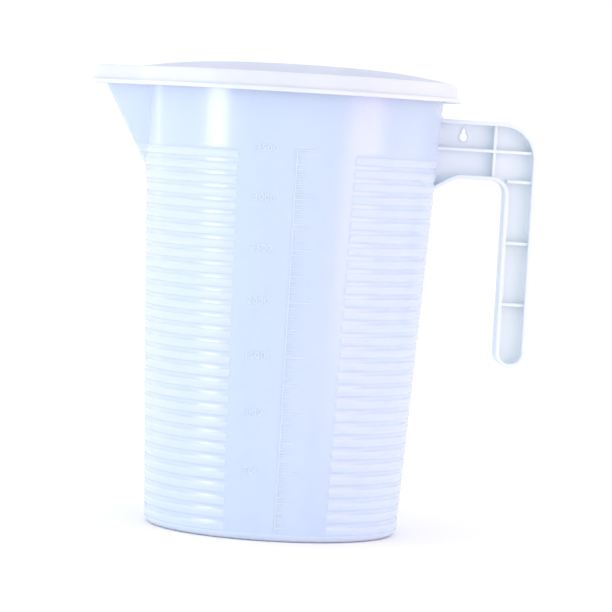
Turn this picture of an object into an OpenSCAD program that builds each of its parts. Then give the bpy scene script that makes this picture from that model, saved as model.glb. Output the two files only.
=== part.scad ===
// Graduated pouring jug with a lift-off lid: a tapered round body with shallow moulded rings, a V spout on -X,
// an open I-section hook handle on +X, and a domed lid with a beaded skirt.
// Frame: millimetres, +Z up, origin at the centre of the foot ring on the surface the jug stands on.

/* [Body] */
// Height of the jug from the foot to the rim
body_h = 249; // [200:1:300]
// Outer diameter of the body at the foot
base_d = 140; // [116:1:168]
// Outer diameter of the body at the rim
rim_d = 165; // [142:0.2:198]
// Thickness of the body wall
wall = 2; // [1.6:0.1:2.6]
// Thickness of the floor
floor_t = 2.6; // [2:0.1:3.6]
// Height of the recess under the floor, inside the foot ring
foot_recess = 1.6; // [1:0.1:2.4]
// Width of the foot ring
foot_w = 4; // [3:0.5:8]
// Radius of the rounded corner between foot and wall
foot_r = 4.5; // [3:0.5:6]

/* [Rim] */
// How far the rim flange stands out from the body wall
flange_w = 4.7; // [3:0.05:6]
// Thickness of the rim flange
flange_t = 2.4; // [1.8:0.1:3]
// How far the flange stands out past the spout's point
flange_lead = 0.3; // [0.2:0.1:1]

/* [Rings] */
// Number of raised rings round the body
ring_count = 30; // [10:1:30]
// Height of one raised ring
ring_band = 3.45; // [1.5:0.05:3.45]
// How far a ring stands out from the wall
ring_relief = 0.3; // [0.15:0.05:0.6]
// Height of the lowest ring's lower edge
ring_start = 4.7; // [4.5:0.1:9]
// Height of the smooth band that the rings and the scale leave free below the rim
rim_band = 37.3; // [24:0.1:60]
// Half the angle of the smooth panel, front and back, that the rings leave free
panel_half = 23; // [15:1:40]

/* [Scale] */
// Volume between two numbered marks, in millilitres
step_ml = 500; // [250:50:1000]
// Height of a raised mark's line
mark_line = 0.7; // [0.5:0.1:1.2]
// How far a mark stands out from the wall
mark_relief = 0.3; // [0.2:0.05:0.5]
// Length of a numbered mark along the wall
mark_long = 11; // [6:0.5:16]
// Length of a half-step mark along the wall
mark_short = 7; // [3:0.5:10]

/* [Spout] */
// How far the spout's edge leans out, in degrees from upright
spout_lean = 28.4; // [20:0.1:36]
// Height of the spout, from where it leaves the wall up to the rim
spout_h = 53; // [40:0.5:66]
// Half the angle between the spout's two sides
spout_half = 34; // [26:1:42]
// Radius of the spout's rounded outer edge
spout_r = 4; // [3:0.5:6]

/* [Handle] */
// How far the top of the handle's arm lies below the rim
arm_drop = 17; // [14:0.5:40]
// Height of the arm
arm_h = 32.5; // [24:0.5:36]
// Distance from the jug's axis to the outside of the grip
handle_reach = 135.6; // [124:0.1:160]
// Width of the grip
grip_w = 17; // [14:0.5:20]
// How far the grip hangs below the arm
grip_h = 103.2; // [70:0.2:130]
// Depth of the handle from front to back
handle_depth = 17; // [12:0.5:22]
// Thickness of the border flange
handle_flange = 2.3; // [1.6:0.1:3]
// Thickness of the web inside the flange
web_t = 2.2; // [1.6:0.1:3]
// Radius of the outer corner between arm and grip
outer_r = 20; // [14:0.5:24]
// Radius of the inner corner between arm and grip
inner_r = 7.5; // [4:0.5:12]
// Thickness of the cross ribs
rib_t = 1.8; // [1.2:0.1:2.4]
// Distance from the wall to the middle of the hang hole
hole_set = 13.6; // [8:0.1:20]
// Radius of the hang hole
hole_r = 2.1; // [1.5:0.1:3]
// Half the width of the slot above the hang hole
slot_half = 1; // [0.6:0.1:1.2]

/* [Lid] */
// Thickness of the lid's skirt
skirt_t = 1.5; // [1.2:0.1:2.4]
// Thickness of the lid's top
lid_t = 1.8; // [1.4:0.1:2.4]
// How far the skirt reaches below the top of the lid's edge
skirt_h = 10.2; // [8:0.2:14]
// How much wider in radius the skirt is at the bottom than at the top
skirt_flare = 0.7; // [0:0.1:1]
// How far the bead at the skirt's bottom stands out
bead_w = 2.1; // [1.2:0.1:3]
// Height of the bead
bead_h = 2.3; // [1.6:0.1:3]
// Rise of the dome above the lid's edge
dome_rise = 5.9; // [3:0.1:10]
// Fullness of the dome: 2 is an even curve, and more is flatter on top and steeper at the edge
dome_fullness = 3; // [2:0.1:4]
// Half the angle of the lid's pointed spout cover
cover_half = 42; // [36:1:48]
// Gap between the lid and the jug all round
lid_gap = 0.3; // [0.3:0.05:0.6]
// Depth of the sealing ring below the lid's top
seal_h = 4; // [2.5:0.1:6]
// Thickness of the sealing ring
seal_t = 1.5; // [1:0.1:2]

/* [Hidden] */
$fn = 96;
span = 180;                                  // half the width of a box wide enough to hold the whole jug
reach = 60;                                  // how far the V shapes run on past their points
past = 1;                                    // how far a cut runs on past the face that it opens
arc_steps = 10;                              // straight pieces in one rounded corner
base_r = base_d / 2;
rim_r = rim_d / 2;
taper = (rim_r - base_r) / body_h;
floor_top = foot_recess + floor_t;
ring_pitch = (body_h - rim_band - ring_start) / ring_count;
step_count = floor(volume_at(body_h - rim_band) / step_ml);
spout_root = body_h - spout_h;               // height on the wall where the spout starts
ring_root = wall / 2;                        // rings and marks are rooted this deep in the wall
front = 270;                                 // direction that the scale faces, round the jug's axis
line_extra = 0.1;                            // the scale's upright line stands this much prouder than its marks
keel_x = -outer_r_at(spout_root);            // where the spout's edge leaves the wall
spout_foot = 10;                             // the spout's wedge starts this far below, inside the wall
tip_x = keel_x - tan(spout_lean) * (body_h - spout_root);
section_half = atan(tan(spout_half) / cos(spout_lean));  // the spout's half angle square to its edge
lid_under = body_h + lid_gap;                // underside of the lid's top plate
lid_edge_z = lid_under + lid_t;              // upper face of the lid's edge
skirt_z = lid_edge_z - skirt_h;
lid_in_r = rim_r + flange_w + lid_gap;       // inside of the skirt at its top
lid_out_r = lid_in_r + skirt_t;
cover_r = 8;                                 // radius of the cover's rounded point
flange_inset = skirt_t + lid_gap;            // the rim's outline is the cover's, drawn in by this
cover_tip = tip_x - flange_lead - flange_inset;
dome_edge = 3;                               // flat edge left round the dome
dome_steps = 14;
seal_clear = 0.5;                            // gap between the sealing ring and the wall
under_edge = 1;                              // flat left between the sealing ring and the hollow under the dome
seal_z = lid_under - seal_h;
seal_r = inner_r_at(seal_z) - seal_clear;
// How far inside the spout's edge the two sides of its channel would meet, were their corner sharp
channel_apex = (spout_r - (spout_r - wall) / sin(section_half)) / cos(spout_lean);
seal_tip = keel_at(seal_z) + channel_apex + seal_clear / sin(spout_half)
         + spout_r * (1 / sin(spout_half) - 1);
arm_top = body_h - arm_drop;
arm_bottom = arm_top - arm_h;
grip_end = arm_bottom - grip_h;
arm_mid = arm_top - arm_h / 2;
grip_in = handle_reach - grip_w;
gusset_w = 12;                               // the arm's lower edge drops over this length next to the wall
gusset_drop = 6.5;
blank_root = 6;                              // the handle's blank starts inside the wall and is cut back to it
blank_x = outer_r_at(arm_bottom) - blank_root;
rib_inset = 2;                               // the ribs stop this short of the handle's front and back
rib_depth = handle_depth - 2 * rib_inset;
rib_back = 24.6;                             // from the grip's outside to the arm's upright rib
rib_x = handle_reach - rib_back;
rib_shares = [0, 0.33, 0.66];                // the grip's ribs, as shares of its length below the arm
hole_drop = 9.4;                             // from the arm's top down to the hang hole
hole_z = arm_top - hole_drop;
hole_x = outer_r_at(hole_z) + hole_set;
slot_h = 4.6;                                // from the hang hole up to the top of its slot

// Outer radius of the smooth wall at height z
function outer_r_at(z) = base_r + taper * z;

// Inner radius of the wall at height z
function inner_r_at(z) = outer_r_at(z) - wall;

// Place of the spout's edge at height z
function keel_at(z) = keel_x - tan(spout_lean) * (z - spout_root);

// Points on an arc round [x, y] with radius r, from angle a to angle b
function arc(x, y, r, a, b, n = arc_steps) =
    [for (i = [0:n]) [x + r * cos(a + (b - a) * i / n), y + r * sin(a + (b - a) * i / n)]];

// Volume in millilitres that the jug holds up to height z, as the inside is part of a cone
function volume_at(z) = PI / 3000 / taper * (pow(inner_r_at(z), 3) - pow(inner_r_at(floor_top), 3));

// Height of the liquid's surface for a volume in millilitres
function fill_z(ml) =
    let (low_r = inner_r_at(floor_top))
    floor_top + (pow(pow(low_r, 3) + 3 * taper * ml * 1000 / PI, 1 / 3) - low_r) / taper;

// V that opens towards +X from a rounded point at x = tip, drawn in by inset
module v_outline(tip, half, r, inset = 0) {
    point_r = r - inset;
    centre = tip + r;
    far_y = point_r * cos(half) + (reach - point_r * sin(half)) * tan(half);
    polygon(concat(
        [[centre + reach, far_y]],
        arc(centre, 0, point_r, 90 + half, 270 - half),
        [[centre + reach, -far_y]]));
}

// The spout as a solid wedge that leans outwards, drawn in by inset
module spout_wedge(inset) {
    translate([keel_x, 0, spout_root])
        rotate([0, -spout_lean, 0])
            translate([0, 0, -reach / 2])
                linear_extrude(2 * reach)
                    v_outline(0, section_half, spout_r, inset);
}

// Everything between two heights
module slab(low, high) {
    translate([-span, -span, low])
        cube([2 * span, 2 * span, high - low]);
}

// Bars on the wall between angles a and b, one for each height in lows, rooted inside the wall
module wall_bars(lows, tall, relief, a, b) {
    rotate([0, 0, a])
        rotate_extrude(angle = b - a)
            for (z = lows)
                polygon([[outer_r_at(z) - ring_root, z], [outer_r_at(z) + relief, z],
                         [outer_r_at(z + tall) + relief, z + tall], [outer_r_at(z + tall) - ring_root, z + tall]]);
}

// Raised rings on both sides, with the front and back panels left smooth
module rings() {
    lows = [for (i = [0:ring_count - 1]) ring_start + i * ring_pitch];
    for (side = [front, front - 180])
        wall_bars(lows, ring_band, ring_relief, side + panel_half, side + 180 - panel_half);
}

// Raised scale: an upright line with a long mark at each numbered step and a short one half-way
module scale_marks() {
    long = [for (i = [1:step_count]) fill_z(i * step_ml) - mark_line / 2];
    short = [for (i = [0:step_count - 1]) fill_z((i + 0.5) * step_ml) - mark_line / 2];
    degrees = 180 / PI / rim_r;
    line_half = mark_line / 2 * degrees;
    wall_bars(long, mark_line, mark_relief, front, front + mark_long * degrees);
    wall_bars(short, mark_line, mark_relief, front, front + mark_short * degrees);
    wall_bars([ring_start], long[step_count - 1] - ring_start + 2 * mark_line, mark_relief + line_extra,
              front - line_half, front + line_half);
}

// The cup's inside, with the channel into the spout
module inside() {
    translate([0, 0, floor_top])
        cylinder(h = body_h + past - floor_top, r1 = inner_r_at(floor_top), r2 = inner_r_at(body_h + past));
    intersection() {
        spout_wedge(wall);
        slab(spout_root - 2 * spout_foot, body_h + past);
    }
}

module jug_body() {
    color("#dce9fb")
    difference() {
        union() {
            rotate_extrude()
                polygon(concat(
                    [[0, 0]],
                    arc(outer_r_at(foot_r) - foot_r, foot_r, foot_r, -90, 0),
                    [[rim_r, body_h], [0, body_h]]));
            intersection() {
                spout_wedge(0);
                slab(spout_root - spout_foot, body_h);
            }
            translate([0, 0, body_h - flange_t])
                cylinder(h = flange_t, r = rim_r + flange_w);
            translate([0, 0, body_h - flange_t])
                linear_extrude(flange_t)
                    v_outline(cover_tip, cover_half, cover_r, flange_inset);
            rings();
            scale_marks();
        }
        inside();
        translate([0, 0, -past])
            cylinder(h = foot_recess + past, r = base_r - foot_r - foot_w);
    }
}

// Side view of the handle in X and Z, drawn in by inset from its outer edge
module handle_outline(inset = 0) {
    end_r = grip_w / 2;
    centre_x = handle_reach - end_r;
    polygon(concat(
        [[blank_x, arm_top - inset]],
        arc(handle_reach - outer_r, arm_top - outer_r, outer_r - inset, 90, 0),
        arc(centre_x, grip_end + end_r, end_r - inset, 0, -180),
        arc(grip_in - inner_r, arm_bottom - inner_r, inner_r + inset, 0, 90),
        [[outer_r_at(arm_bottom) + gusset_w, arm_bottom + inset],
         [outer_r_at(arm_bottom), arm_bottom - gusset_drop + inset],
         [blank_x, arm_bottom - gusset_drop + inset]]));
}

// A flat shape drawn in X and Z, given a depth centred on the XZ plane
module upright(depth) {
    rotate([90, 0, 0])
        linear_extrude(depth, center = true)
            children();
}

module handle_ribs() {
    intersection() {
        upright(rib_depth)
            handle_outline(handle_flange / 2);
        union() {
            translate([blank_x, -rib_depth, arm_mid - rib_t / 2])
                cube([handle_reach - blank_x, 2 * rib_depth, rib_t]);
            translate([rib_x, -rib_depth, arm_bottom - gusset_drop])
                cube([rib_t, 2 * rib_depth, arm_h + gusset_drop]);
            for (share = rib_shares)
                translate([grip_in, -rib_depth, arm_bottom - share * (arm_bottom - grip_end) - rib_t / 2])
                    cube([grip_w, 2 * rib_depth, rib_t]);
        }
    }
}

module handle() {
    color("#e2ebfa")
    difference() {
        union() {
            difference() {
                upright(handle_depth)
                    handle_outline();
                upright(handle_depth + past)
                    handle_outline(handle_flange);
            }
            upright(web_t)
                handle_outline(handle_flange / 2);
            handle_ribs();
        }
        cylinder(h = body_h, r1 = base_r, r2 = rim_r);
        rings();
        translate([hole_x, 0, hole_z])
            rotate([90, 0, 0])
                cylinder(h = handle_depth, r = hole_r, center = true);
        translate([hole_x - slot_half, -handle_depth / 2, hole_z])
            cube([2 * slot_half, handle_depth, slot_h]);
    }
}

// The lid's outline as a solid from z up to height tall: a round part and the pointed spout cover
module lid_plan(z, tall, r_low, r_high, inset) {
    translate([0, 0, z]) {
        cylinder(h = tall, r1 = r_low, r2 = r_high);
        linear_extrude(tall)
            v_outline(cover_tip, cover_half, cover_r, inset);
    }
}

// Shallow dome that stands on height z
module dome(z) {
    edge_r = lid_out_r - dome_edge;
    rotate_extrude()
        polygon(concat(
            [[0, z - lid_t / 2], [edge_r, z - lid_t / 2]],
            [for (i = [0:dome_steps])
                let (share = 1 - i / dome_steps)
                [edge_r * share, z + dome_rise * (1 - pow(share, dome_fullness))]]));
}

// Ring under the lid that fits inside the rim and the spout's channel
module seal_ring() {
    difference() {
        seal_plan(0);
        seal_plan(seal_t);
    }
}

module seal_plan(inset) {
    deep = inset > 0 ? past : 0;
    translate([0, 0, seal_z - deep]) {
        cylinder(h = seal_h + lid_t / 2 + 2 * deep, r = seal_r - inset);
        linear_extrude(seal_h + lid_t / 2 + 2 * deep)
            v_outline(seal_tip, spout_half, spout_r, inset);
    }
}

module lid() {
    color("#eef3fc")
    difference() {
        union() {
            difference() {
                union() {
                    lid_plan(skirt_z, skirt_h, lid_out_r + skirt_flare, lid_out_r, 0);
                    lid_plan(skirt_z, bead_h, lid_out_r + skirt_flare + bead_w,
                             lid_out_r + skirt_flare + bead_w, -bead_w);
                    dome(lid_edge_z);
                }
                lid_plan(skirt_z - past, skirt_h - lid_t + past, lid_in_r + skirt_flare, lid_in_r, skirt_t);
            }
            seal_ring();
        }
        intersection() {
            dome(lid_edge_z - lid_t);
            cylinder(h = 2 * body_h, r = seal_r - seal_t - under_edge);
        }
    }
}

jug_body();
handle();
lid();
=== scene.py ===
"""Lidded measuring jug: a thin-walled moulding in natural polypropylene with raised rings, a volume scale, a pouring
spout and a hook handle, and a lift-off lid in the same plastic. Lengths are in millimetres until a mesh is made."""

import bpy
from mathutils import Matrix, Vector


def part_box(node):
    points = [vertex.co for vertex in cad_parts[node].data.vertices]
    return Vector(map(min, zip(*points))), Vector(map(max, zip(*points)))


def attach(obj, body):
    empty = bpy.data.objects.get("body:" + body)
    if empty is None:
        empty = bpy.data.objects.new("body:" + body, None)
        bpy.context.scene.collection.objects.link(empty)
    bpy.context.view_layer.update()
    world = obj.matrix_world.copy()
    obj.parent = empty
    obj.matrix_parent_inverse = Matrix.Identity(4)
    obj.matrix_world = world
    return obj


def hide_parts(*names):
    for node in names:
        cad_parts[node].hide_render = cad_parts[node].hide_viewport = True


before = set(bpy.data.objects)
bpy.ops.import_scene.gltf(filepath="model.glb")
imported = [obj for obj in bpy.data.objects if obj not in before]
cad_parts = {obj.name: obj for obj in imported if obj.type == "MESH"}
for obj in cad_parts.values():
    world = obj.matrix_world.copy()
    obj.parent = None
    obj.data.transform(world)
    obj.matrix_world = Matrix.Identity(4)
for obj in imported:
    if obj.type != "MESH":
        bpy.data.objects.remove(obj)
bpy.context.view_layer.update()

import logging
import math
from dataclasses import dataclass, field
from enum import Enum, IntEnum

import bmesh
import bpy
from mathutils import Matrix, Vector
from mathutils.geometry import tessellate_polygon

log = logging.getLogger("jug")

MM = 0.001
TURN = 2 * math.pi
SPOUT_WAY = math.pi          # direction of the spout round the jug's axis
FRONT_WAY = 1.5 * math.pi    # direction that the scale faces

Point = tuple[float, float, float]
Face = tuple[int, ...]
Part = tuple[list[Point], list[Face]]
Outline = list[tuple[float, float]]


# --- small helpers


def linear(hex_colour: str) -> tuple[float, float, float, float]:
    """Turns an sRGB hex colour into linear light.

    Args:
        hex_colour: six hex digits.

    Returns:
        Red, green, blue and an alpha of 1.
    """
    channels = [int(hex_colour[i : i + 2], 16) / 255 for i in (0, 2, 4)]
    light = [c / 12.92 if c <= 0.04045 else ((c + 0.055) / 1.055) ** 2.4 for c in channels]
    return (*light, 1.0)


def add_node(
    tree: bpy.types.NodeTree, kind: str, settings: dict | None = None, links: dict | None = None
) -> bpy.types.Node:
    """Adds one shader node.

    Args:
        tree: the node tree to add to.
        kind: the node's type name.
        settings: attribute names, or input names and numbers, with their values.
        links: input names or numbers with the output sockets that feed them.

    Returns:
        The new node.
    """
    node = tree.nodes.new(kind)
    for name, value in (settings or {}).items():
        if isinstance(name, str) and hasattr(node, name):
            setattr(node, name, value)
        else:
            node.inputs[name].default_value = value
    for name, source in (links or {}).items():
        tree.links.new(source, node.inputs[name])
    return node


def smooth_step(low: float, high: float, value: float) -> float:
    """Goes from 0 at low to 1 at high without a corner."""
    t = min(max((value - low) / (high - low), 0.0), 1.0)
    return t * t * (3 - 2 * t)


def smooth_max(a: float, b: float, width: float) -> float:
    """The larger of two lengths, with the corner where they cross filled over width."""
    h = max(width - abs(a - b), 0.0) / width
    return max(a, b) + h * h * width / 4


def wrap(angle: float) -> float:
    """An angle brought to between minus pi and pi."""
    return (angle + math.pi) % TURN - math.pi


def arc_points(x: float, y: float, r: float, start: float, end: float, steps: int) -> Outline:
    """Points on an arc round (x, y), from start to end in degrees."""
    turns = [math.radians(start + (end - start) * i / steps) for i in range(steps + 1)]
    return [(x + r * math.cos(t), y + r * math.sin(t)) for t in turns]


class Shell:
    """Points in millimetres and the faces between them, which grow into one piece's mesh."""

    def __init__(self) -> None:
        """Starts an empty shell."""
        self.points: list[Point] = []
        self.faces: list[Face] = []
        self.tags: list[int] = []

    def add(self, points: list[Point], faces: list[Face]) -> None:
        """Adds a closed part, whose faces count its own points from 0."""
        first = len(self.points)
        self.points += points
        self.faces += [tuple(first + k for k in face) for face in faces]

    def piece(self, name: str, finishes: list[bpy.types.Material], crease: float) -> bpy.types.Object:
        """Makes a smooth-shaded object.

        Args:
            name: the piece's name.
            finishes: materials, in slot order. Each face's tag is its slot, and without tags all take the first.
            crease: edges sharper than this many degrees stay sharp.

        Returns:
            The linked object.
        """
        mesh = bpy.data.meshes.new(name)
        mesh.from_pydata([(x * MM, y * MM, z * MM) for x, y, z in self.points], [], self.faces)
        for finish in finishes:
            mesh.materials.append(finish)
        if self.tags:
            mesh.polygons.foreach_set("material_index", self.tags)
        work = bmesh.new()
        work.from_mesh(mesh)
        bmesh.ops.recalc_face_normals(work, faces=work.faces)
        work.to_mesh(mesh)
        work.free()
        mesh.shade_smooth()
        mesh.set_sharp_from_angle(angle=math.radians(crease))
        piece = bpy.data.objects.new(name, mesh)
        bpy.context.scene.collection.objects.link(piece)
        return piece


@dataclass
class Wedge:
    """Plan of a pouring spout or its cover: two straight sides that meet in a rounded point.

    Attributes:
        half: half the angle between the sides, in degrees.
        point_r: radius of the rounded point.
    """

    half: float
    point_r: float

    def reach(self, bearing: float, tip: float) -> float:
        """Distance from the jug's axis to the wedge's side.

        Args:
            bearing: angle from the spout's direction, in radians.
            tip: distance from the axis to the rounded point.

        Returns:
            The distance along that bearing, or 0 where the wedge is behind the axis.
        """
        phi = abs(bearing)
        if phi > math.pi / 2:
            return 0.0
        half = math.radians(self.half)
        centre = tip - self.point_r
        touch = math.atan2(self.point_r * math.cos(half), centre + self.point_r * math.sin(half))
        if phi <= touch:
            inside = self.point_r**2 - (centre * math.sin(phi)) ** 2
            return centre * math.cos(phi) + math.sqrt(max(inside, 0.0))
        apex = centre + self.point_r / math.sin(half)
        nearest = math.pi / 2 - half
        phi = min(phi, nearest)
        return apex / (math.cos(phi) + math.sin(phi) / math.tan(half))


class Loft(Shell):
    """Closed skin over rows of points that run round the jug's axis, each row at the same bearings."""

    def __init__(self, bearings: list[float]) -> None:
        """Starts an empty skin over these angles round the axis, in radians."""
        super().__init__()
        self.bearings = bearings
        self.last: list[int] = []

    def pole(self, z: float) -> None:
        """Adds a point on the axis, which closes the skin below or above it."""
        self.points.append((0.0, 0.0, z))
        self._join([len(self.points) - 1], [0] * len(self.bearings))

    def row(self, radii: list[float], z: float, tags: list[int] | None = None) -> None:
        """Adds a level row of points and joins it to the row before.

        Args:
            radii: distance from the axis at each bearing.
            z: height.
            tags: finish of each face below this row, or None for 0.
        """
        first = len(self.points)
        self.points += [(r * math.cos(angle), r * math.sin(angle), z) for angle, r in zip(self.bearings, radii)]
        self._join(list(range(first, len(self.points))), tags or [0] * len(self.bearings))

    def level(self, r: float, z: float, tag: int = 0) -> None:
        """Adds a round row, with one finish for the faces below it."""
        count = len(self.bearings)
        self.row([r] * count, z, [tag] * count)

    def _join(self, new: list[int], tags: list[int]) -> None:
        """Makes the faces between the last row and the new one.

        Args:
            new: point numbers of the new row, or of the one point of a pole.
            tags: finish of each face.
        """
        count = len(self.bearings)
        if self.last:
            for i in range(count):
                j = (i + 1) % count
                a, b = (self.last[i], self.last[j]) if len(self.last) > 1 else (self.last[0],) * 2
                c, d = (new[j], new[i]) if len(new) > 1 else (new[0],) * 2
                face = tuple(dict.fromkeys((a, b, c, d)))
                if len(face) > 2:
                    self.faces.append(face)
                    self.tags.append(tags[i])
        self.last = new


# --- finishes


@dataclass(frozen=True)
class Polypropylene:
    """Natural, unpigmented polypropylene as it leaves an injection mould: milky, waxy and translucent.

    Light enters the wall, scatters in it and comes out softer and slightly blue, so edges and thick places look
    whiter and deeper than flat ones. Attributes give colours as sRGB hex and lengths in millimetres.

    Attributes:
        name: the material's name.
        body: colour of the wall seen straight on.
        deep: colour where the plastic flowed thicker.
        rough: the least roughness of the surface.
        rough_spread: how much rougher its dullest patches are.
        grain: distance between the surface's fine bumps.
        grain_height: how far they stand up.
        scatter: how far light travels inside the plastic, or 0 where it leaves at once.
        clear: share of light that goes straight through.
        gloss: strength of the surface's reflection.
        flow: distance between the broad streaks of the melt.
        stretch: how much of its pace the streaks' pattern keeps up the wall, so 0.22 makes them 4.5 times as long.
        patch: size of the dull patches that handling leaves.
    """

    name: str
    body: str
    deep: str
    rough: float
    rough_spread: float
    grain: float
    grain_height: float
    scatter: float = 1.2
    clear: float = 0.04
    gloss: float = 0.5
    flow: float = 38.0
    stretch: float = 0.22
    patch: float = 14.0

    def build(self) -> bpy.types.Material:
        """Makes the material.

        Returns:
            A node material with its own colour, roughness and bump patterns.
        """
        finish = bpy.data.materials.new(self.name)
        finish.use_nodes = True
        finish.diffuse_color = linear(self.body)
        tree = finish.node_tree
        tree.nodes.clear()
        place = add_node(tree, "ShaderNodeTexCoord").outputs["Object"]
        # The melt fans out from the gate under the floor and runs up the wall, so its streaks are long and upright.
        stretched = add_node(
            tree, "ShaderNodeMapping", {"Scale": (1.0, 1.0, self.stretch)}, {"Vector": place}
        ).outputs[0]
        streaks = add_node(
            tree,
            "ShaderNodeTexNoise",
            {"Scale": 1 / (self.flow * MM), "Detail": 4.0, "Roughness": 0.55},
            {"Vector": stretched},
        ).outputs["Fac"]
        colour = add_node(tree, "ShaderNodeValToRGB", links={"Fac": streaks})
        for stop, position, tone in zip(colour.color_ramp.elements, (0.3, 0.66), (self.deep, self.body)):
            stop.position = position
            stop.color = linear(tone)
        # Handling leaves faint dull patches about a fingertip across.
        patches = add_node(
            tree,
            "ShaderNodeTexNoise",
            {"Scale": 1 / (self.patch * MM), "Detail": 5.0, "Roughness": 0.6},
            {"Vector": place},
        ).outputs["Fac"]
        dullness = add_node(
            tree,
            "ShaderNodeMapRange",
            {"From Min": 0.35, "From Max": 0.7, "To Min": self.rough, "To Max": self.rough + self.rough_spread},
            {"Value": patches},
        ).outputs[0]
        grain = add_node(
            tree, "ShaderNodeTexNoise", {"Scale": 1 / (self.grain * MM), "Detail": 2.0}, {"Vector": place}
        ).outputs["Fac"]
        bump = add_node(
            tree, "ShaderNodeBump", {"Strength": 1.0, "Distance": self.grain_height * MM}, {"Height": grain}
        ).outputs[0]
        skin = add_node(
            tree,
            "ShaderNodeBsdfPrincipled",
            {
                "IOR": 1.49,
                "Specular IOR Level": self.gloss,
                "Subsurface Weight": 1.0 if self.scatter else 0.0,
                "Subsurface Radius": (0.8, 0.9, 1.0),
                "Subsurface Scale": self.scatter * MM,
                "Transmission Weight": self.clear,
            },
            {"Base Color": colour.outputs["Color"], "Roughness": dullness, "Normal": bump},
        )
        add_node(tree, "ShaderNodeOutputMaterial", links={"Surface": skin.outputs[0]})
        return finish


@dataclass(frozen=True)
class Paper:
    """Matt white paper of a studio sweep, which gives an even ground with hardly any shadow.

    Attributes:
        name: the material's name.
        tone: its colour as sRGB hex.
        fibre: distance between fibres, in millimetres.
        fibre_height: how far they stand up, in millimetres.
    """

    name: str = "sweep_paper"
    tone: str = "FFFFFF"
    fibre: float = 2.5
    fibre_height: float = 0.05

    def build(self) -> bpy.types.Material:
        """Makes the material.

        Returns:
            A node material with a fibre relief that is only just there.
        """
        finish = bpy.data.materials.new(self.name)
        finish.use_nodes = True
        tree = finish.node_tree
        tree.nodes.clear()
        place = add_node(tree, "ShaderNodeTexCoord").outputs["Object"]
        fibres = add_node(
            tree, "ShaderNodeTexNoise", {"Scale": 1 / (self.fibre * MM), "Detail": 3.0}, {"Vector": place}
        ).outputs["Fac"]
        bump = add_node(
            tree, "ShaderNodeBump", {"Strength": 0.1, "Distance": self.fibre_height * MM}, {"Height": fibres}
        ).outputs[0]
        look = {"Base Color": linear(self.tone), "Roughness": 0.9}
        sheet = add_node(tree, "ShaderNodeBsdfPrincipled", look, {"Normal": bump})
        add_node(tree, "ShaderNodeOutputMaterial", links={"Surface": sheet.outputs[0]})
        return finish


class Moulding(Enum):
    """The finishes of the jug's mouldings."""

    # Polished steel leaves the panels and the top glossy: a strip light shows in them as a clean bright line.
    POLISHED = Polypropylene("polypropylene_polished", "CEDEFC", "CADBFB", 0.2, 0.07, 3.0, 0.012, gloss=0.9)
    # The rings' steel is spark-eroded, so they are satin: paler than the gloss, and even from side to side.
    SATIN = Polypropylene("polypropylene_satin", "D5E3FC", "D2E0FB", 0.34, 0.08, 0.45, 0.012)
    # The handle is solid and backed by nothing, so it looks whiter and less blue than the wall.
    HANDLE = Polypropylene("polypropylene_handle", "E7F1F9", "E2EDF7", 0.3, 0.08, 2.4, 0.012, scatter=0.0, clear=0.0)
    # The lid is a separate, whiter shot of the same plastic; its skirt keeps this colour, so it reads brighter than
    # the top, whose colour holds painted shade.
    LID = Polypropylene("polypropylene_lid", "E0E6EF", "DCE2EC", 0.36, 0.08, 2.0, 0.012, clear=0.0)
    # The lid's top is cut fine and matt, so that scratches don't show. Its darker, greyer colour than the skirt's is
    # painted shade, for the weaker light that falls on it from above.
    LID_TOP_SHADED = Polypropylene("polypropylene_lid_top_shaded", "C8CFE7", "C3CAE4", 0.6, 0.1, 0.8, 0.012, clear=0.0, gloss=0.1)
    # Relief marks are so fine that light leaves them at once: they look a touch whiter than the wall.
    MARKS = Polypropylene("polypropylene_marks", "D7E5FC", "D3E2FB", 0.3, 0.06, 1.2, 0.005, scatter=0.1, clear=0.0)


# --- the jug


class Band(IntEnum):
    """Material slots of the jug's body."""

    POLISHED = 0
    SATIN = 1


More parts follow.
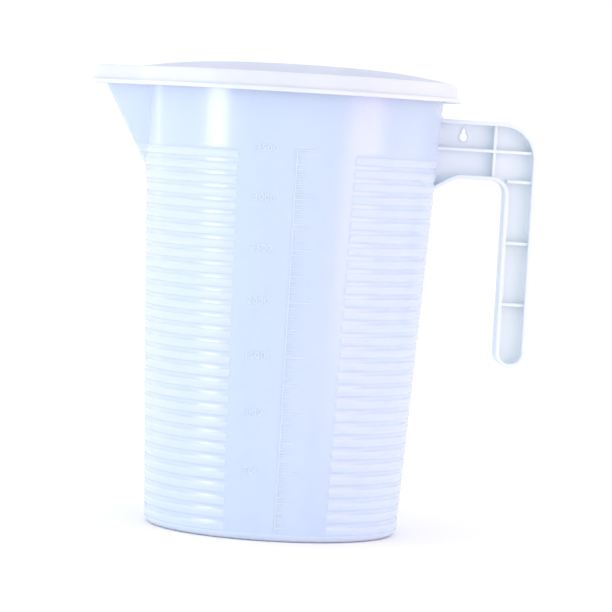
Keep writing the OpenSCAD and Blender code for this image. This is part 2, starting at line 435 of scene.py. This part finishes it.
@dataclass
class JugBody:
    """The jug's floor, wall, rings, spout and rim, as one thin skin that is closed all round.

    Attributes:
        base_r: outer radius at the foot.
        rim_r: outer radius at the rim.
        height: height of the rim.
        wall: wall thickness.
        floor_top: height of the inside of the floor.
        recess: depth of the recess under the floor.
        foot_in: inner radius of the foot ring.
        foot_r: rounded corner between foot and wall.
        flange: how far the rim flange stands out.
        flange_t: its thickness.
        flange_lead: how far the flange passes the spout's point.
        ring_count: number of raised rings.
        ring_pitch: distance from ring to ring.
        ring_band: height of one ring.
        ring_relief: how far a ring stands out.
        ring_crown: how much further its middle stands out.
        ring_start: lower edge of the lowest ring.
        panel_half: half the angle of the smooth panels, in degrees.
        panel_fade: half the angle over which the rings run out beside a panel, in degrees.
        spout: plan of the spout's outside.
        cover: plan of the flange over the spout.
        spout_lean: lean of the spout's edge from upright, in degrees.
        spout_root: height where the spout leaves the wall.
        spout_blend: how wide the corner between spout and wall is filled.
        floor_r: rounded corner between floor and wall inside.
    """

    base_r: float = 70.0
    rim_r: float = 82.5
    height: float = 249.0
    wall: float = 2.0
    floor_top: float = 4.2
    recess: float = 1.6
    foot_in: float = 61.5
    foot_r: float = 4.5
    flange: float = 4.7
    flange_t: float = 2.4
    flange_lead: float = 0.3
    ring_count: int = 30
    ring_pitch: float = 6.9
    ring_band: float = 3.45
    ring_relief: float = 0.3
    ring_crown: float = 0.04
    ring_start: float = 4.7
    panel_half: float = 23.0
    panel_fade: float = 0.5
    spout: Wedge = field(default_factory=lambda: Wedge(34.0, 4.0))
    cover: Wedge = field(default_factory=lambda: Wedge(42.0, 6.2))
    spout_lean: float = 28.4
    spout_root: float = 196.0
    spout_blend: float = 1.6
    floor_r: float = 3.0

    def outer_r(self, z: float) -> float:
        """Outer radius of the plain wall at height z."""
        return self.base_r + (self.rim_r - self.base_r) * z / self.height

    def keel(self, z: float) -> float:
        """Distance from the axis to the spout's outer edge at height z."""
        return self.outer_r(self.spout_root) + math.tan(math.radians(self.spout_lean)) * (z - self.spout_root)

    def bearings(self) -> list[float]:
        """Angles round the axis, closer together at the spout and at the panels' edges.

        Returns:
            Angles in radians, in order.
        """
        degrees = {round(1.5 * i, 3) for i in range(240)}
        spout = math.degrees(SPOUT_WAY)
        degrees |= {round(spout + 0.4 * i, 3) for i in range(-12, 13)}
        degrees |= {round(spout + 0.75 * i, 3) for i in range(-26, 27)}
        for way in (math.degrees(FRONT_WAY), math.degrees(FRONT_WAY) - 180):
            for edge in (way - self.panel_half, way + self.panel_half):
                degrees |= {round((edge + step) % 360, 3) for step in (-0.5, -0.25, 0, 0.25, 0.5)}
        return [math.radians(d) for d in sorted(degrees)]

    def ring_share(self, angle: float) -> float:
        """How much of a ring's relief shows at an angle: none on the smooth panels, all of it elsewhere."""
        from_panel = min(abs(wrap(angle - FRONT_WAY)), abs(wrap(angle - FRONT_WAY + math.pi)))
        edge, fade = math.radians(self.panel_half), math.radians(self.panel_fade)
        return smooth_step(edge - fade, edge + fade, from_panel)

    def outside(self, angle: float, z: float, relief: float = 0.0) -> float:
        """Outer radius at an angle and height, with the spout blended in.

        Args:
            angle: angle round the axis.
            z: height.
            relief: how far the surface stands out there.

        Returns:
            The distance from the axis.
        """
        plain = self.outer_r(z) + relief * self.ring_share(angle)
        side = self.spout.reach(wrap(angle - SPOUT_WAY), self.keel(z))
        return smooth_max(plain, side, self.spout_blend)

    def inside(self, angle: float, z: float) -> float:
        """Inner radius at an angle and height, with the spout's channel blended in."""
        plain = self.outer_r(z) - self.wall
        lean = math.cos(math.radians(self.spout_lean))
        channel = Wedge(self.spout.half, self.spout.point_r - self.wall)
        section = math.atan(math.tan(math.radians(self.spout.half)) / lean)
        # A sloping wall is thicker across than it is square to itself.
        gap = self.wall / lean * (1.0 + 0.05 * math.cos(section))
        side = channel.reach(wrap(angle - SPOUT_WAY), self.keel(z) - gap)
        return smooth_max(plain, side, 0.75 * self.spout_blend)

    def flange_out(self, angle: float, inset: float = 0.0) -> float:
        """Outer edge of the rim flange at an angle, drawn in by inset."""
        tip = self.keel(self.height) + self.flange_lead
        point = Wedge(self.cover.half, self.cover.point_r - inset)
        side = point.reach(wrap(angle - SPOUT_WAY), tip - inset)
        return smooth_max(self.rim_r + self.flange - inset, side, 0.5)

    def wall_rows(self) -> list[tuple[float, float, Band]]:
        """Rows up the outside.

        Returns:
            Each row's height, its relief and the finish of the faces below it.
        """
        shoulder = 0.22
        rows = []
        for i in range(self.ring_count):
            low = self.ring_start + i * self.ring_pitch
            high = low + self.ring_band
            rows += [
                (low - shoulder, 0.0, Band.POLISHED),
                (low + shoulder, self.ring_relief, Band.SATIN),
                ((low + high) / 2, self.ring_relief + self.ring_crown, Band.SATIN),
                (high - shoulder, self.ring_relief, Band.SATIN),
                (high + shoulder, 0.0, Band.SATIN),
            ]
        top = rows[-1][0]
        last = self.height - self.flange_t - 1.0
        steps = 12
        rows += [(top + (last - top) * (i + 1) / steps, 0.0, Band.POLISHED) for i in range(steps)]
        return rows

    def build(self) -> bpy.types.Object:
        """Makes the skin from the middle of the underside, up the outside, over the rim and down the inside.

        Returns:
            The jug's body.
        """
        angles = self.bearings()
        skin = Loft(angles)
        # A small gate vestige in a shallow dimple, then the recessed floor and the foot ring.
        skin.pole(self.recess - 0.8)
        for r, z in ((1.1, -0.8), (1.5, -0.3), (3.6, 0.3), (4.2, 0.0), (30.0, 0.0), (31.0, -0.25), (32.0, 0.0)):
            skin.level(r, self.recess + z)
        lip = self.recess
        for r, z in ((-0.7, lip), (-0.15, lip - 0.2), (0.0, lip - 0.7), (0.1, 0.5), (0.6, 0.0)):
            skin.level(self.foot_in + r, z)
        corner = self.outer_r(self.foot_r) - self.foot_r
        # Painted light: the foot's rounded corner takes the paler satin finish, which offsets the shade where the
        # jug meets the floor.
        for r, z in arc_points(corner, self.foot_r, self.foot_r, -90, -6, 9):
            skin.level(r, z, Band.SATIN)
        shares = [self.ring_share(a) for a in angles]
        for z, relief, band in self.wall_rows():
            tags = [int(band) if s > 0.5 else int(Band.POLISHED) for s in shares]
            skin.row([self.outside(a, z, relief) for a in angles], z, tags)
        under = self.height - self.flange_t
        for out, drop in ((0.25, 0.3), (0.8, 0.0)):
            skin.row([self.outside(a, under) + out for a in angles], under - drop)
        for inset, z in ((0.5, under), (0.13, under + 0.15), (0.0, under + 0.5), (0.0, self.height - 0.7),
                         (0.2, self.height - 0.2), (0.7, self.height)):
            skin.row([self.flange_out(a, inset) for a in angles], z)
        for out, drop in ((0.7, 0.0), (0.2, 0.2), (0.0, 0.7)):
            z = self.height - drop
            skin.row([self.inside(a, z) + out for a in angles], z)
        low = self.floor_top + self.floor_r
        steps = 34
        for i in range(1, steps + 1):
            z = self.height - 0.7 + (low - self.height + 0.7) * i / steps
            skin.row([self.inside(a, z) for a in angles], z)
        corner = self.outer_r(low) - self.wall - self.floor_r
        for r, z in arc_points(corner, low, self.floor_r, -12, -90, 6):
            skin.level(r, z)
        skin.level(20.0, self.floor_top)
        skin.pole(self.floor_top)
        finishes = [Moulding.POLISHED.value.build(), Moulding.SATIN.value.build()]
        return skin.piece("jug_shell", finishes, crease=50)


@dataclass
class VolumeScale:
    """Raised scale on the front panel: an upright line, marks on its right and numbers on its left.

    Attributes:
        body: the jug that it stands on.
        step_ml: volume between two numbered marks.
        steps: number of numbered marks.
        parts: fine marks in one step.
        relief: how far the marks stand out.
        line: width of the upright line and of the longer marks.
        fine: width of a fine mark.
        proud: how much further the upright line stands out.
        root: how deep every mark is rooted in the wall.
        long: length of a numbered mark.
        middle: length of a half-step mark.
        short: length of a fine mark.
        digit_h: height of the numbers.
        digit_share: height of a digit as a share of its font's size.
        digit_gap: distance from the numbers to the scale's line.
        digit_root: half the depth of a digit without its bevel.
        digit_bevel: bevel of a digit's edges.
    """

    body: JugBody
    step_ml: int = 500
    steps: int = 7
    parts: int = 10
    relief: float = 0.16
    line: float = 0.7
    fine: float = 0.55
    proud: float = 0.1
    root: float = 0.2
    long: float = 11.0
    middle: float = 7.0
    short: float = 4.0
    digit_h: float = 4.0
    digit_share: float = 0.73
    digit_gap: float = 10.4
    digit_root: float = 0.25
    digit_bevel: float = 0.06

    def fill_z(self, ml: float) -> float:
        """Height of the liquid's surface for a volume, as the inside is part of a cone."""
        body = self.body
        low_r = body.outer_r(body.floor_top) - body.wall
        taper = (body.rim_r - body.base_r) / body.height
        return body.floor_top + ((low_r**3 + 3 * taper * ml * 1000 / math.pi) ** (1 / 3) - low_r) / taper

    def on_wall(self, along: float, up: float, out: float) -> Point:
        """A point on the wall.

        Args:
            along: distance to the right of the scale's line.
            up: height.
            out: distance outwards from the wall.

        Returns:
            The point's place.
        """
        r = self.body.outer_r(up)
        angle = FRONT_WAY + along / r
        return ((r + out) * math.cos(angle), (r + out) * math.sin(angle), up)

    def bar(self, left: float, right: float, low: float, high: float, out: float) -> Part:
        """Makes one raised bar with softened edges, rooted just inside the wall.

        Args:
            left: left end, from the scale's line.
            right: right end.
            low: lower edge.
            high: upper edge.
            out: how far it stands out.

        Returns:
            Points and faces.
        """
        soft = min(0.14, (high - low) / 4, out / 2)
        columns = max(2, math.ceil((right - left) / 1.5) + 1)
        rows = max(1, math.ceil((high - low) / 6))
        outline = [(low - soft, -self.root), (low, 0.0), (low + soft / 3, out - soft), (low + soft, out)]
        outline += [(low + (high - low) * i / rows, out) for i in range(1, rows)]
        outline += [(high - soft, out), (high - soft / 3, out - soft), (high, 0.0), (high + soft, -self.root)]
        stations = [(left, -self.root), (left, out - soft), (left + soft, out)]
        span = right - left - 2 * soft
        stations += [(left + soft + span * i / (columns - 1), out) for i in range(1, columns - 1)]
        stations += [(right - soft, out), (right, out - soft), (right, -self.root)]
        points = [self.on_wall(along, up, min(level, most)) for along, most in stations for up, level in outline]
        n, last = len(outline), (len(stations) - 1) * len(outline)
        faces: list[Face] = []
        for a in range(0, last, n):
            faces += [(a + j, a + j + n, a + j + n + 1, a + j + 1) for j in range(n - 1)]
            faces.append((a, a + n - 1, a + n + n - 1, a + n))
        faces.append(tuple(range(n)))
        faces.append(tuple(last + j for j in reversed(range(n))))
        return points, faces

    def number(self, value: int) -> Part:
        """Makes one number's raised digits.

        Args:
            value: the number to write.

        Returns:
            Points and faces on the wall, right-aligned beside the scale's line.
        """
        curve = bpy.data.curves.new(f"number_{value}", "FONT")
        curve.body = str(value)
        curve.align_x = "RIGHT"
        curve.align_y = "CENTER"
        curve.size = self.digit_h / self.digit_share
        curve.space_character = 1.1
        curve.resolution_u = 5
        curve.extrude = self.digit_root
        curve.bevel_depth = self.digit_bevel
        curve.bevel_resolution = 1
        curve.offset = -0.02
        letters = bpy.data.objects.new(curve.name, curve)
        bpy.context.scene.collection.objects.link(letters)
        shown = letters.evaluated_get(bpy.context.evaluated_depsgraph_get())
        mesh = shown.to_mesh()
        up = self.fill_z(value)
        out = self.relief - self.digit_root - self.digit_bevel
        points = [self.on_wall(v.co.x - self.digit_gap, up + v.co.y, v.co.z + out) for v in mesh.vertices]
        faces = [tuple(p.vertices) for p in mesh.polygons]
        shown.to_mesh_clear()
        bpy.data.objects.remove(letters)
        bpy.data.curves.remove(curve)
        return points, faces

    def build(self) -> bpy.types.Object:
        """Makes the line, all marks and all numbers as one piece.

        Returns:
            The scale.
        """
        shell = Shell()
        top = self.fill_z(self.step_ml * self.steps) + self.line
        shell.add(*self.bar(-self.line / 2, self.line / 2, self.body.ring_start, top, self.relief + self.proud))
        for i in range(1, self.steps * self.parts + 1):
            up = self.fill_z(i * self.step_ml / self.parts)
            length = self.short
            if i % self.parts == 0:
                length = self.long
            elif i * 2 % self.parts == 0:
                length = self.middle
            thick = self.line if length > self.short else self.fine
            shell.add(*self.bar(0.0, length, up - thick / 2, up + thick / 2, self.relief))
        for i in range(1, self.steps + 1):
            shell.add(*self.number(i * self.step_ml))
        return shell.piece("volume_scale", [Moulding.MARKS.value.build()], crease=30)


# --- the handle


@dataclass
class HookHandle:
    """Open hook handle of I-section: a border flange, a web in its middle, cross ribs and a keyhole.

    Attributes:
        body: the jug that it is moulded on.
        arm_top: height of the arm's upper edge.
        arm_h: height of the arm.
        reach: distance from the axis to the outside of the grip.
        grip_w: width of the grip.
        grip_end: height of the grip's lower end.
        depth: depth from front to back.
        flange: thickness of the border.
        web: thickness of the web.
        outer_r: outer corner radius.
        inner_r: inner corner radius.
        gusset_w: width of the gusset under the arm's root.
        gusset_drop: how far it reaches down.
        bend: radius of the bend between gusset and arm.
        fillet: rounded corner between the arm's top and the wall.
        rib_t: thickness of a rib.
        rib_depth: depth of a rib through the web.
        rib_back: distance from the upright rib to the outside of the grip.
        hole: place of the hang hole, in X and Z.
        hole_r: its radius.
        slot_half: half the width of the slot above it.
        slot_top: height of the slot's top.
    """

    body: JugBody
    arm_top: float = 232.0
    arm_h: float = 32.5
    reach: float = 135.6
    grip_w: float = 17.0
    grip_end: float = 96.3
    depth: float = 17.0
    flange: float = 2.3
    web: float = 2.2
    outer_r: float = 20.0
    inner_r: float = 7.5
    gusset_w: float = 12.0
    gusset_drop: float = 6.5
    bend: float = 9.0
    fillet: float = 1.6
    rib_t: float = 1.8
    rib_depth: float = 13.0
    rib_back: float = 24.6
    hole: tuple[float, float] = (94.77, 222.6)
    hole_r: float = 2.1
    slot_half: float = 1.0
    slot_top: float = 227.2

    @property
    def arm_bottom(self) -> float:
        """Height of the arm's lower edge."""
        return self.arm_top - self.arm_h

    def outline(self, inset: float) -> Outline:
        """Side view in X and Z from the wall, round the hook and back to the wall.

        Args:
            inset: how far the line is drawn in from the outer edge.

        Returns:
            The same number of points for any inset.
        """
        fillet, bend = self.fillet, self.bend
        bottom = self.arm_bottom
        top_wall = self.body.outer_r(self.arm_top)
        low_wall = self.body.outer_r(bottom)
        end_r = self.grip_w / 2
        grip_in = self.reach - self.grip_w
        slope = math.degrees(math.atan2(self.gusset_drop, self.gusset_w))
        knee_x = low_wall + self.gusset_w
        hang = bend * math.tan(math.radians(slope / 2))
        line = arc_points(top_wall + fillet, self.arm_top + fillet, fillet + inset, 180, 270, 5)
        line += arc_points(self.reach - self.outer_r, self.arm_top - self.outer_r, self.outer_r - inset, 90, 0, 18)
        line += arc_points(self.reach - end_r, self.grip_end + end_r, end_r - inset, 0, -180, 22)
        line += arc_points(grip_in - self.inner_r, bottom - self.inner_r, self.inner_r + inset, 0, 90, 12)
        line += arc_points(knee_x + hang, bottom - bend, bend + inset, 90, 90 + slope, 6)
        line += [(low_wall - 1.5, bottom - self.gusset_drop - 0.8 + inset)]
        return line

    def seated(self, x: float, y: float, z: float) -> Point:
        """A point of the handle, kept from reaching further than half-way into the wall."""
        wall = math.sqrt(self.body.outer_r(z) ** 2 - y * y) - self.body.wall / 2
        return (max(x, wall), y, z)

    def section(self) -> Outline:
        """Cross-section of the border as inset and depth, with soft edges and a cove down to the web."""
        half, soft = self.depth / 2, 0.55
        outer = arc_points(soft, half - soft, soft, 180, 90, 3)
        inner = arc_points(self.flange - soft, half - soft, soft, 90, 0, 3)
        cove = arc_points(self.flange + 1.3, self.web / 2 + 1.3, 1.3, 180, 265, 4)
        top = outer + inner + cove + [(self.flange + 1.6, self.web / 2 - 0.15)]
        return top + [(inset, -y) for inset, y in reversed(top)]

    def border(self) -> Part:
        """Sweeps the border's cross-section along the outline, with both ends rooted in the wall.

        Returns:
            Points and faces.
        """
        section = self.section()
        points = [self.seated(x, y, z) for inset, y in section for x, z in self.outline(inset)]
        loops, count = len(section), len(self.outline(0.0))
        faces: list[Face] = []
        for i in range(loops):
            a, b = i * count, (i + 1) % loops * count
            faces += [(a + k, b + k, b + k + 1, a + k + 1) for k in range(count - 1)]
        faces.append(tuple(i * count for i in range(loops)))
        faces.append(tuple(i * count + count - 1 for i in reversed(range(loops))))
        return points, faces

    def keyhole(self, out: float) -> Outline:
        """Outline of the keyhole, drawn out by a distance: a round hole with a slot above it."""
        x, z = self.hole
        r, s = self.hole_r + out, self.slot_half + out
        spread = math.degrees(math.asin(s / r))
        return (arc_points(x, z, r, 90 + spread, 450 - spread, 26)
                + arc_points(x, self.slot_top - self.slot_half, s, 0, 180, 8))

    def plate(self) -> Part:
        """Makes the web with the keyhole through it.

        Returns:
            Points and faces.
        """
        border = self.outline(self.flange * 0.7)
        loops = [border, self.keyhole(0.0)]
        flat = [p for loop in loops for p in loop]
        triangles = tessellate_polygon([[Vector((x, z, 0)) for x, z in loop] for loop in loops])
        n = len(flat)
        points = [self.seated(x, y, z) for y in (-self.web / 2, self.web / 2) for x, z in flat]
        faces: list[Face] = [tuple(t) for t in triangles]
        faces += [tuple(n + k for k in reversed(t)) for t in triangles]
        start = 0
        for loop in loops:
            for k in range(len(loop)):
                a, b = start + k, start + (k + 1) % len(loop)
                faces.append((a, b, b + n, a + n))
            start += len(loop)
        return points, faces

    def collar(self, side: int) -> Part:
        """Makes the low raised lip round the keyhole on one side of the web.

        Args:
            side: -1 for the front, 1 for the back.

        Returns:
            Points and faces.
        """
        base = self.web / 2
        profile = [(0.0, base - 0.4), (0.0, base + 0.3), (0.18, base + 0.5), (0.75, base + 0.5), (1.0, base + 0.25),
                   (1.1, base - 0.4)]
        count = len(self.keyhole(0.0))
        points = [(x, side * y, z) for out, y in profile for x, z in self.keyhole(out)]
        faces: list[Face] = []
        for i in range(len(profile)):
            a, b = i * count, (i + 1) % len(profile) * count
            faces += [(a + k, a + (k + 1) % count, b + (k + 1) % count, b + k) for k in range(count)]
        return points, faces

    def rib(self, low: tuple[float, float], high: tuple[float, float], sunk: float = 0.0) -> Part:
        """Makes one cross rib with soft edges, through the web from front to back.

        Args:
            low: lowest X and Z.
            high: highest X and Z.
            sunk: how much shallower it is than the other ribs.

        Returns:
            Points and faces.
        """
        work = bmesh.new()
        bmesh.ops.create_cube(work, size=1.0)
        size = (high[0] - low[0], self.rib_depth - sunk, high[1] - low[1])
        middle = ((high[0] + low[0]) / 2, 0.0, (high[1] + low[1]) / 2)
        for v in work.verts:
            v.co = Vector([v.co[i] * size[i] + middle[i] for i in range(3)])
        bmesh.ops.bevel(work, geom=work.edges[:], offset=0.4, segments=2, profile=0.5, affect="EDGES")
        work.verts.index_update()
        points = [self.seated(*v.co) for v in work.verts]
        faces = [tuple(v.index for v in f.verts) for f in work.faces]
        work.free()
        return points, faces

    def build(self) -> bpy.types.Object:
        """Makes the handle.

        Returns:
            The handle.
        """
        shell = Shell()
        shell.add(*self.border())
        shell.add(*self.plate())
        for side in (-1, 1):
            shell.add(*self.collar(side))
        half, sunk = self.rib_t / 2, self.flange / 2
        grip_in, grip_out = self.reach - self.grip_w + sunk, self.reach - sunk
        middle = self.arm_top - self.arm_h / 2
        upright = self.reach - self.rib_back
        shell.add(*self.rib((self.body.base_r, middle - half), (grip_out, middle + half)))
        # The upright rib is a little shallower, so that its faces don't lie in those of the rib that it crosses.
        shell.add(*self.rib((upright, self.arm_bottom + sunk), (upright + self.rib_t, self.arm_top - sunk), 0.5))
        for share in (0.0, 0.33, 0.66):
            z = self.arm_bottom - share * (self.arm_bottom - self.grip_end)
            shell.add(*self.rib((grip_in, z - half), (grip_out, z + half)))
        return shell.piece("hook_handle", [Moulding.HANDLE.value.build()], crease=40)


# --- the lid


@dataclass
class SnapLid:
    """Domed lid with a beaded skirt, a pointed spout cover and a sealing ring, as one closed skin.

    Attributes:
        body: the jug that it closes.
        gap: gap to the jug all round.
        skirt_t: thickness of the skirt.
        plate_t: thickness of the top.
        skirt_h: height of the skirt.
        flare: how much wider the skirt is at the bottom.
        bead_w: how far the bead stands out.
        bead_h: height of the bead.
        rise: rise of the dome.
        fullness: 2 is an even curve, and more is flatter on top and steeper at the edge.
        dome_edge: flat edge left round the dome.
        corner: height of the rounded corner at the top of the skirt.
        seal_h: depth of the sealing ring.
        seal_t: its thickness.
        seal_clear: gap between the sealing ring and the wall.
        cover: plan of the spout cover.
    """

    body: JugBody
    gap: float = 0.3
    skirt_t: float = 1.5
    plate_t: float = 1.8
    skirt_h: float = 10.2
    flare: float = 0.7
    bead_w: float = 2.1
    bead_h: float = 2.3
    rise: float = 5.9
    fullness: float = 3.0
    dome_edge: float = 3.0
    corner: float = 1.6
    seal_h: float = 4.0
    seal_t: float = 1.5
    seal_clear: float = 0.5
    cover: Wedge = field(default_factory=lambda: Wedge(42.0, 8.0))

    def bearings(self) -> list[float]:
        """Angles round the axis in radians, closer together at the spout cover."""
        spout = math.degrees(SPOUT_WAY)
        degrees = {round(1.5 * i, 3) for i in range(240)}
        degrees |= {round(spout + 0.5 * i, 3) for i in range(-64, 65)}
        return [math.radians(d) for d in sorted(degrees)]

    def edge(self, angle: float, inset: float) -> float:
        """Distance from the axis to the skirt's outer face at its top, drawn in by inset."""
        body = self.body
        tip = body.keel(body.height) + body.flange_lead + self.gap + self.skirt_t
        round_r = body.rim_r + body.flange + self.gap + self.skirt_t
        point = Wedge(self.cover.half, self.cover.point_r - inset)
        side = point.reach(wrap(angle - SPOUT_WAY), tip - inset)
        return smooth_max(round_r - inset, side, 2.4)

    def seal(self, angle: float, inset: float) -> float:
        """Distance from the axis to the sealing ring's outer face, drawn in by inset."""
        body = self.body
        z = body.height + self.gap - self.seal_h
        half = math.radians(body.spout.half)
        lean = math.radians(body.spout_lean)
        section = math.atan(math.tan(half) / math.cos(lean))
        r = body.spout.point_r
        apex = (r - (r - body.wall) / math.sin(section)) / math.cos(lean)
        tip = body.keel(z) - apex - self.seal_clear / math.sin(half) - r * (1 / math.sin(half) - 1)
        round_r = body.outer_r(z) - body.wall - self.seal_clear
        side = Wedge(body.spout.half, r - inset).reach(wrap(angle - SPOUT_WAY), tip - inset)
        return smooth_max(round_r - inset, side, 0.8)

    def build(self) -> bpy.types.Object:
        """Makes the skin from the dome's middle, down the skirt, round the bead and back under the dome.

        Returns:
            The lid.
        """
        angles = self.bearings()
        skin = Loft(angles)
        under = self.body.height + self.gap
        top = under + self.plate_t
        foot = top - self.skirt_h
        edge_r = self.body.rim_r + self.body.flange + self.gap + self.skirt_t - self.dome_edge
        # The top's finish slot carries a darker colour than the skirt's: painted shade for the weaker light from
        # above.
        matt = 1    # slot of the top's finish

        def cap(r: float) -> float:
            """Height of the dome's outer face at a distance from its middle."""
            return top + self.rise * (1 - (r / edge_r) ** self.fullness)

        def plan(inset: float, z: float, tag: int = 0) -> None:
            """Adds a row along the lid's outline, with one finish for the faces below it."""
            skin.row([self.edge(a, inset) for a in angles], z, [tag] * len(angles))

        skin.pole(cap(0) - 0.35)
        for r, drop in ((1.0, 0.35), (1.4, 0.1), (1.9, 0.0), (4.0, 0.0)):
            skin.level(r, cap(r) - drop, matt)
        for i in range(1, 25):
            r = 4.0 + (edge_r - 4.6) * i / 24
            skin.level(r, cap(r), matt)
        skin.level(edge_r, top + 0.04, matt)
        skin.level(edge_r + 0.5, top, matt)
        plan(1.9, top, matt)
        for inset, drop in ((1.25, 0.08), (0.75, 0.3), (0.35, 0.65), (0.1, 1.1), (0.0, self.corner)):
            plan(inset, top - drop)
        neck = foot + self.bead_h
        for share in (0.25, 0.5, 0.75, 1.0):
            plan(-self.flare * share, top - self.corner + (neck + 0.7 - top + self.corner) * share)
        lip = self.flare + self.bead_w
        for out, z in ((self.flare + 0.12, neck + 0.25), (self.flare + 0.5, neck), (lip - 0.75, neck),
                       (lip - 0.22, neck - 0.2), (lip, neck - 0.75), (lip, foot + 0.7), (lip - 0.22, foot + 0.2),
                       (lip - 0.75, foot), (self.flare - self.skirt_t + 0.4, foot),
                       (self.flare - self.skirt_t, foot + 0.4)):
            plan(-out, z)
        for share in (0.35, 0.7, 1.0):
            plan(self.skirt_t - self.flare * (1 - share), foot + 0.4 + (under - 0.8 - foot - 0.4) * share)
        plan(self.skirt_t + 0.2, under - 0.25)
        plan(self.skirt_t + 0.8, under)
        low = under - self.seal_h
        for inset, z in ((-0.7, under), (-0.15, under - 0.15), (0.0, under - 0.6), (0.0, low + 0.5),
                         (0.15, low + 0.12), (0.5, low), (self.seal_t - 0.5, low), (self.seal_t - 0.15, low + 0.12),
                         (self.seal_t, low + 0.5), (self.seal_t, under - 0.4), (self.seal_t + 0.4, under)):
            skin.row([self.seal(a, inset) for a in angles], z)
        inner_r = self.body.rim_r - self.body.wall - self.seal_clear - self.seal_t - 1.2
        skin.level(inner_r, under)
        for i in range(13):
            r = (inner_r - 0.8) * (1 - i / 13)
            skin.level(r, cap(r) - self.plate_t)
        skin.pole(cap(0) - self.plate_t)
        finishes = [Moulding.LID.value.build(), Moulding.LID_TOP_SHADED.value.build()]
        return skin.piece("snap_lid", finishes, crease=50)


# --- the studio


@dataclass
class Studio:
    """White sweep, soft lights and the camera.

    Attributes:
        aim: point that the camera looks at, in millimetres.
        distance: from the camera to that point.
        height: height of the camera.
        turn: how far the camera stands round towards the spout, in degrees.
        roll: how far the camera is rolled, in degrees.
        lens: focal length on a 36 mm sensor.
    """

    aim: tuple[float, float, float] = (12.9, 0.0, 124.0)
    distance: float = 1833.0
    height: float = 220.0
    turn: float = 2.6
    roll: float = 3.4
    lens: float = 194.2

    def camera(self) -> None:
        """Makes the camera and gives it to the scene."""
        lens = bpy.data.cameras.new("camera")
        lens.lens = self.lens
        lens.sensor_width = 36
        lens.clip_end = 50
        camera = bpy.data.objects.new("camera", lens)
        bpy.context.scene.collection.objects.link(camera)
        rise = self.height - self.aim[2]
        away = math.sqrt(self.distance**2 - rise**2)
        turn = math.radians(self.turn)
        aim = Vector(self.aim)
        place = aim + Vector((-math.sin(turn) * away, -math.cos(turn) * away, rise))
        facing = (aim - place).to_track_quat("-Z", "Y").to_matrix().to_4x4()
        tilt = Matrix.Rotation(math.radians(self.roll), 4, "Z")
        camera.matrix_world = Matrix.Translation(place * MM) @ facing @ tilt
        bpy.context.scene.camera = camera

    def softbox(
        self, name: str, way: float, away: float, height: float, size: tuple[float, float], watts: float, tint: str
    ) -> None:
        """Adds a soft rectangular light that faces the jug.

        Args:
            name: the light's name.
            way: direction round the jug's axis, in degrees, with 270 in front.
            away: distance from the axis, in metres.
            height: height of its middle, in metres.
            size: width and height, in metres.
            watts: power.
            tint: sRGB hex colour.
        """
        lamp = bpy.data.lights.new(name, "AREA")
        lamp.shape = "RECTANGLE"
        lamp.size, lamp.size_y = size
        lamp.energy = watts
        lamp.color = linear(tint)[:3]
        light = bpy.data.objects.new(name, lamp)
        bpy.context.scene.collection.objects.link(light)
        angle = math.radians(way)
        place = Vector((math.cos(angle) * away, math.sin(angle) * away, height))
        facing = (Vector((0, 0, self.aim[2] * MM)) - place).to_track_quat("-Z", "Y")
        light.matrix_world = Matrix.Translation(place) @ facing.to_matrix().to_4x4()

    def sweep(self) -> None:
        """Makes the pale floor, with a rim that curves up far away on every side."""
        rings = [(1.5, 0.0), (3.0, 0.0), (3.6, 0.05), (4.1, 0.2), (4.5, 0.5), (4.8, 1.0), (4.9, 2.2)]
        count = 96
        around = [TURN * i / count for i in range(count)]
        points = [(0.0, 0.0, 0.0)]
        points += [(r * math.cos(a) / MM, r * math.sin(a) / MM, z / MM) for r, z in rings for a in around]
        faces: list[Face] = [(0, 1 + i, 1 + (i + 1) % count) for i in range(count)]
        for a in range(1, 1 + (len(rings) - 1) * count, count):
            faces += [(a + i, a + (i + 1) % count, a + (i + 1) % count + count, a + i + count) for i in range(count)]
        shell = Shell()
        shell.add(points, faces)
        shell.piece("sweep", [Paper().build()], crease=38)

    def light(self) -> None:
        """Sets the even white surroundings and the strip lights that draw the jug's highlights."""
        scene = bpy.context.scene
        scene.view_settings.view_transform = "Standard"
        world = bpy.data.worlds.new("white_room")
        world.use_nodes = True
        scene.world = world
        glow = world.node_tree.nodes["Background"]
        glow.inputs["Color"].default_value = (1.0, 1.0, 1.0, 1.0)
        glow.inputs["Strength"].default_value = 1.04
        self.softbox("strip_left", 209.5, 0.8, 0.19, (0.22, 0.34), 1.25, "FFF4F2")
        self.softbox("strip_right", 324, 0.8, 0.15, (0.4, 0.5), 1.5, "FFCBD2")
        self.softbox("strip_back", 140, 1.5, 0.3, (0.1, 1.4), 1.0, "FFFFFF")

    def build(self) -> None:
        """Makes the whole studio."""
        self.camera()
        self.sweep()
        self.light()


# --- assembly


def place(piece: bpy.types.Object, body: str, slot: str, node: str | None = None) -> None:
    """Ties a finished piece to the frame.

    Args:
        piece: the piece.
        body: the rigid body that it rides on.
        slot: the material slot that it would take its finish from; not used.
        node: the plain solid that it stands for, if any.
    """
    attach(piece, body)
    if node:
        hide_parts(node)
    log.info("%s: %d faces on %s", piece.name, len(piece.data.polygons), body)


def main() -> None:
    """Builds the studio and every piece of the jug."""
    logging.basicConfig(level=logging.INFO, format="%(name)s: %(message)s")
    Studio().build()
    body = JugBody(height=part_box("jug_body")[1][2] / MM)
    place(body.build(), "jug", "jug_plastic", "jug_body")
    place(VolumeScale(body).build(), "jug", "jug_plastic")
    place(HookHandle(body).build(), "jug", "handle_plastic", "handle")
    place(SnapLid(body).build(), "lid", "lid_plastic", "lid")


if __name__ == "__main__":
    main()
